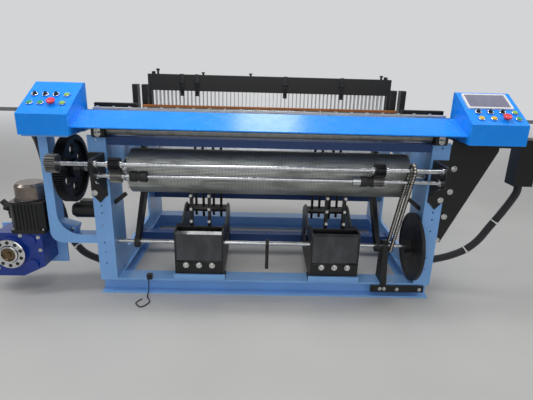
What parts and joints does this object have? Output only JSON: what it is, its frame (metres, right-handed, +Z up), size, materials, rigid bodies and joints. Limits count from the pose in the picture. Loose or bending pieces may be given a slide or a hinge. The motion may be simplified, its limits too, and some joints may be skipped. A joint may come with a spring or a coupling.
{
  "type": "wire mesh loom",
  "caption": "Floor-standing wire mesh loom: plate frame on H rails, geared take-up roll, rocking sley with rapiers, heald frames on lift rods and sloped consoles.",
  "frame": {"origin": "on the floor under the middle of the machine box, conduits left out", "axes": "+X to the operator's right across the web, +Y from the take-up front to the warp rear, +Z up"},
  "size_m": [2.98, 1.2996, 1.164],
  "materials": {
    "frame_blue": "satin powder coat",
    "tie_blue": "satin powder coat",
    "cover_blue": "gloss enamel",
    "fell_aluminium": "brushed",
    "black_paint": "satin black",
    "screen_plastic": "gloss",
    "reducer_blue": "gloss enamel",
    "conduit_braid": "braided sleeve",
    "smoked_panel": "smoked gloss",
    "chain_steel": "oiled",
    "ground_steel": "ground",
    "mesh_wire": "woven wire",
    "reed_brass": "brushed",
    "knob_black": "gloss",
    "stop_red": "gloss",
    "button_green": "gloss",
    "button_lime": "gloss",
    "button_yellow": "gloss"
  },
  "bodies": {
    "frame": {"base_rails": "frame_blue", "left_side_frame": "frame_blue", "right_side_frame": "frame_blue", "left_outrigger": "frame_blue", "cross_ties": "tie_blue", "breast_cover": "cover_blue", "left_console": "cover_blue", "right_console": "cover_blue", "fell_bar": "fell_aluminium", "bearing_blocks": "black_paint", "roll_brackets": "black_paint", "console_gusset": "black_paint", "lift_units": "black_paint", "disc_bracket": "black_paint", "heald_guides": "black_paint", "servo_motor": "black_paint", "tension_motor": "black_paint", "touch_screen": "screen_plastic", "gear_reducer": "reducer_blue", "left_conduit": "conduit_braid", "right_conduit": "conduit_braid", "lift_panels": "smoked_panel", "drive_chain": "chain_steel"},
    "roll": {"take_up_roller": "ground_steel", "mesh_roll": "mesh_wire", "take_up_gear": "ground_steel"},
    "feed": {"feed_shaft": "ground_steel", "feed_wheels": "ground_steel", "feed_gears": "black_paint"},
    "press": {"press_shaft": "ground_steel", "press_gears": "chain_steel"},
    "input": {"input_shaft": "ground_steel", "brake_disc": "black_paint"},
    "sley": {"rocker_shaft": "ground_steel", "sley_swords": "black_paint", "sley_beam": "black_paint", "reed": "reed_brass"},
    "left_rapier_bar": {"left_rapier": "chain_steel"},
    "right_rapier_bar": {"right_rapier": "chain_steel"},
    "front_heald": {"front_heald_frame": "black_paint"},
    "rear_heald": {"rear_heald_frame": "black_paint"},
    "warp": {"warp_beam": "mesh_wire"},
    "back_roller": {"back_rest": "ground_steel"},
    "breast_rolling": {"breast_roller": "ground_steel"},
    "left_selector_a_body": {"left_selector_a": "knob_black"},
    "left_selector_b_body": {"left_selector_b": "knob_black"},
    "left_selector_c_body": {"left_selector_c": "knob_black"},
    "left_stop_button_body": {"left_stop_button": "stop_red"},
    "left_button_a_body": {"left_button_a": "button_green"},
    "left_button_b_body": {"left_button_b": "button_green"},
    "left_button_c_body": {"left_button_c": "button_lime"},
    "left_button_d_body": {"left_button_d": "button_lime"},
    "right_selector_a_body": {"right_selector_a": "knob_black"},
    "right_selector_b_body": {"right_selector_b": "knob_black"},
    "right_selector_c_body": {"right_selector_c": "knob_black"},
    "right_stop_button_body": {"right_stop_button": "stop_red"},
    "right_button_a_body": {"right_button_a": "button_yellow"},
    "right_button_b_body": {"right_button_b": "button_yellow"},
    "right_button_c_body": {"right_button_c": "button_green"},
    "right_button_d_body": {"right_button_d": "button_lime"}
  },
  "joints": [
    {"name": "roll_spin", "type": "hinge", "parent": "frame", "child": "roll", "pos_m": [0, -0.41007, 0.69], "axis": [1, 0, 0], "continuous": true},
    {"name": "feed_spin", "type": "hinge", "parent": "frame", "child": "feed", "pos_m": [0, -0.60593, 0.76], "axis": [1, 0, 0], "continuous": true},
    {"name": "press_spin", "type": "hinge", "parent": "frame", "child": "press", "pos_m": [0, -0.59142, 0.70178], "axis": [1, 0, 0], "continuous": true},
    {"name": "input_spin", "type": "hinge", "parent": "frame", "child": "input", "pos_m": [0, -0.41007, 0.29128], "axis": [1, 0, 0], "continuous": true},
    {"name": "sley_rock", "type": "hinge", "parent": "frame", "child": "sley", "pos_m": [0, -0.41007, 0.29128], "axis": [1, 0, 0], "range_deg": [0, 8]},
    {"name": "left_rapier_slide", "type": "slide", "parent": "sley", "child": "left_rapier_bar", "axis": [1, 0, 0], "range_m": [0, 0.7]},
    {"name": "right_rapier_slide", "type": "slide", "parent": "sley", "child": "right_rapier_bar", "axis": [1, 0, 0], "range_m": [-0.7, 0]},
    {"name": "front_heald_slide", "type": "slide", "parent": "frame", "child": "front_heald", "axis": [0, 0, 1], "range_m": [-0.04, 0.04]},
    {"name": "rear_heald_slide", "type": "slide", "parent": "frame", "child": "rear_heald", "axis": [0, 0, 1], "range_m": [-0.04, 0.04]},
    {"name": "warp_spin", "type": "hinge", "parent": "frame", "child": "warp", "pos_m": [0, 0.41993, 0.56], "axis": [1, 0, 0], "continuous": true},
    {"name": "back_rest_spin", "type": "hinge", "parent": "frame", "child": "back_roller", "pos_m": [0, 0.58993, 0.86], "axis": [1, 0, 0], "continuous": true},
    {"name": "breast_spin", "type": "hinge", "parent": "frame", "child": "breast_rolling", "pos_m": [0, -0.48007, 0.9], "axis": [1, 0, 0], "continuous": true},
    {"name": "left_selector_a_turn", "type": "hinge", "parent": "frame", "child": "left_selector_a_body", "pos_m": [-1.112, -0.48027, 1.05711], "axis": [0, -0.4805, 0.877], "range_deg": [-45, 45]},
    {"name": "left_selector_b_turn", "type": "hinge", "parent": "frame", "child": "left_selector_b_body", "pos_m": [-1.062, -0.48027, 1.05711], "axis": [0, -0.4805, 0.877], "range_deg": [-45, 45]},
    {"name": "left_selector_c_turn", "type": "hinge", "parent": "frame", "child": "left_selector_c_body", "pos_m": [-1.012, -0.48027, 1.05711], "axis": [0, -0.4805, 0.877], "range_deg": [-45, 45]},
    {"name": "left_stop_button_push", "type": "slide", "parent": "frame", "child": "left_stop_button_body", "axis": [0, 0.4805, -0.877], "range_m": [0, 0.005]},
    {"name": "left_button_a_push", "type": "slide", "parent": "frame", "child": "left_button_a_body", "axis": [0, 0.4805, -0.877], "range_m": [0, 0.004], "stiffness_N_per_m": 400, "springref_m": -0.002},
    {"name": "left_button_b_push", "type": "slide", "parent": "frame", "child": "left_button_b_body", "axis": [0, 0.4805, -0.877], "range_m": [0, 0.004], "stiffness_N_per_m": 400, "springref_m": -0.002},
    {"name": "left_button_c_push", "type": "slide", "parent": "frame", "child": "left_button_c_body", "axis": [0, 0.4805, -0.877], "range_m": [0, 0.004], "stiffness_N_per_m": 400, "springref_m": -0.002},
    {"name": "left_button_d_push", "type": "slide", "parent": "frame", "child": "left_button_d_body", "axis": [0, 0.4805, -0.877], "range_m": [0, 0.004], "stiffness_N_per_m": 400, "springref_m": -0.002},
    {"name": "right_selector_a_turn", "type": "hinge", "parent": "frame", "child": "right_selector_a_body", "pos_m": [0.969, -0.52763, 1.03116], "axis": [0, -0.4805, 0.877], "range_deg": [-45, 45]},
    {"name": "right_selector_b_turn", "type": "hinge", "parent": "frame", "child": "right_selector_b_body", "pos_m": [1.027, -0.52763, 1.03116], "axis": [0, -0.4805, 0.877], "range_deg": [-45, 45]},
    {"name": "right_selector_c_turn", "type": "hinge", "parent": "frame", "child": "right_selector_c_body", "pos_m": [1.085, -0.52763, 1.03116], "axis": [0, -0.4805, 0.877], "range_deg": [-45, 45]},
    {"name": "right_stop_button_push", "type": "slide", "parent": "frame", "child": "right_stop_button_body", "axis": [0, 0.4805, -0.877], "range_m": [0, 0.005]},
    {"name": "right_button_a_push", "type": "slide", "parent": "frame", "child": "right_button_a_body", "axis": [0, 0.4805, -0.877], "range_m": [0, 0.004], "stiffness_N_per_m": 400, "springref_m": -0.002},
    {"name": "right_button_b_push", "type": "slide", "parent": "frame", "child": "right_button_b_body", "axis": [0, 0.4805, -0.877], "range_m": [0, 0.004], "stiffness_N_per_m": 400, "springref_m": -0.002},
    {"name": "right_button_c_push", "type": "slide", "parent": "frame", "child": "right_button_c_body", "axis": [0, 0.4805, -0.877], "range_m": [0, 0.004], "stiffness_N_per_m": 400, "springref_m": -0.002},
    {"name": "right_button_d_push", "type": "slide", "parent": "frame", "child": "right_button_d_body", "axis": [0, 0.4805, -0.877], "range_m": [0, 0.004], "stiffness_N_per_m": 400, "springref_m": -0.002}
  ],
  "couplings": [
    {"joint": "feed_spin", "follows": "roll_spin", "ratio": -4.2},
    {"joint": "press_spin", "follows": "roll_spin", "ratio": 4.2},
    {"joint": "input_spin", "follows": "roll_spin", "ratio": -4.2},
    {"joint": "right_rapier_slide", "follows": "left_rapier_slide", "ratio": -1},
    {"joint": "rear_heald_slide", "follows": "front_heald_slide", "ratio": -1}
  ]
}
